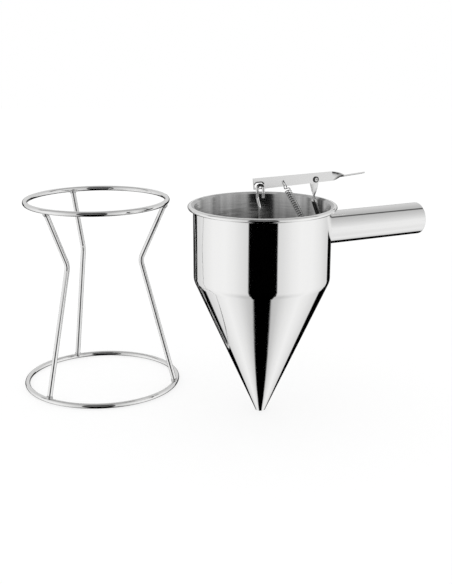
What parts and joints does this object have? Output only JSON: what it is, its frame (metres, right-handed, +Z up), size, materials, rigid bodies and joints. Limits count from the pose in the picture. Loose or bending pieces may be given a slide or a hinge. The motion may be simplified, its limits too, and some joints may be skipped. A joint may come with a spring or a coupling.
{
  "type": "batter dispenser with stand",
  "caption": "Stainless funnel dispenser with tube handle, sprung thumb lever and plunger valve, beside the three-legged wire stand that holds it.",
  "frame": {"origin": "centre of the stand's base ring, on the table", "axes": "+Z up, +X from the stand towards the funnel and its handle, +Y away from the picture's camera"},
  "size_m": [0.4107, 0.2295, 0.2297],
  "materials": {
    "stand_wire": "bright polished round wire",
    "weld": "small polished weld beads",
    "funnel_sheet": "mirror polished outside, fine circular brushing inside",
    "handle_steel": "satin polished tube",
    "strip_steel": "satin stainless strip",
    "rivet_steel": "plain stainless rivets",
    "plunger_steel": "bright drawn wire and turned plug",
    "spring_steel": "bright spring wire"
  },
  "bodies": {
    "stand": {"stand_top_ring": "stand_wire", "stand_base_ring": "stand_wire", "stand_leg_right": "stand_wire", "stand_leg_rear": "stand_wire", "stand_leg_front": "stand_wire", "stand_top_welds": "weld", "stand_base_welds": "weld"},
    "funnel": {"funnel_barrel": "funnel_sheet", "funnel_cone": "funnel_sheet", "handle_tube": "handle_steel", "handle_weld": "weld", "handle_end_cap": "handle_steel", "lever_bracket": "strip_steel", "bracket_rivets": "rivet_steel", "pivot_rivet": "rivet_steel", "pivot_spacer": "rivet_steel", "return_spring": "spring_steel"},
    "lever": {"lever": "strip_steel"},
    "plunger": {"plunger_rod": "plunger_steel", "valve_plug": "plunger_steel"}
  },
  "joints": [
    {"name": "funnel_lift", "type": "slide", "parent": "stand", "child": "funnel", "axis": [0, 0, 1], "range_m": [0, 0.21]},
    {"name": "lever_press", "type": "hinge", "parent": "funnel", "child": "lever", "pos_m": [0.21527, -0.05444, 0.2234], "axis": [-0.4384, 0.8988, 0], "range_deg": [0, 20], "stiffness_Nm_per_rad": 0.25, "springref_deg": -20.05, "deforming": ["return_spring"]},
    {"name": "plunger_lift", "type": "slide", "parent": "funnel", "child": "plunger", "axis": [0, 0, 1], "range_m": [0, 0.0215]}
  ],
  "couplings": [
    {"joint": "plunger_lift", "follows": "lever_press", "m_per_rad": 0.0605}
  ]
}
